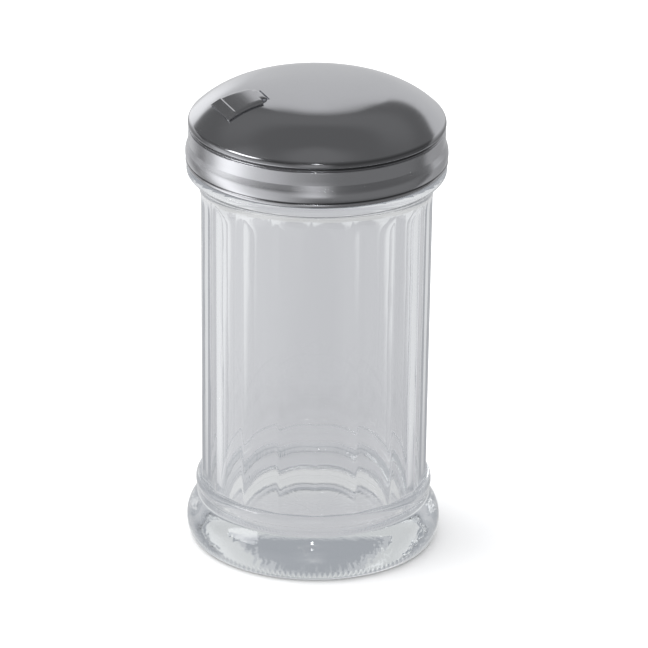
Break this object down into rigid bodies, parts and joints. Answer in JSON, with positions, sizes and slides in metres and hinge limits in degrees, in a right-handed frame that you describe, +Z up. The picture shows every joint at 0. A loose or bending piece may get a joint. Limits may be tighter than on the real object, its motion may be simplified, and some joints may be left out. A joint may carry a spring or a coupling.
{
  "type": "sugar dispenser",
  "caption": "Panelled glass sugar pourer with a rounded foot and a domed steel screw lid, whose small bent flap hooks through a slot and swings up over a pour hole.",
  "frame": {"origin": "centre of the flat ring that the jar stands on", "axes": "+Z up along the jar's axis; the flap and its pour hole lie towards -X, and the flap's hinge axis is parallel to Y"},
  "size_m": [0.0756, 0.0756, 0.1398],
  "materials": {
    "glass": "clear, smooth pressed glass",
    "lid_steel": "pressed stainless steel, polished dome and satin skirt",
    "flap_steel": "bent stainless steel sheet, satin"
  },
  "bodies": {
    "jar": {"jar": "glass"},
    "lid": {"lid": "lid_steel"},
    "flap": {"flap": "flap_steel"}
  },
  "joints": [
    {"name": "lid_lift", "type": "slide", "parent": "jar", "child": "lid", "axis": [0, 0, 1], "range_m": [0, 0.03]},
    {"name": "flap_hinge", "type": "hinge", "parent": "lid", "child": "flap", "pos_m": [-0.01776, 0, 0.13843], "axis": [0, 1, 0], "range_deg": [0, 75]}
  ]
}
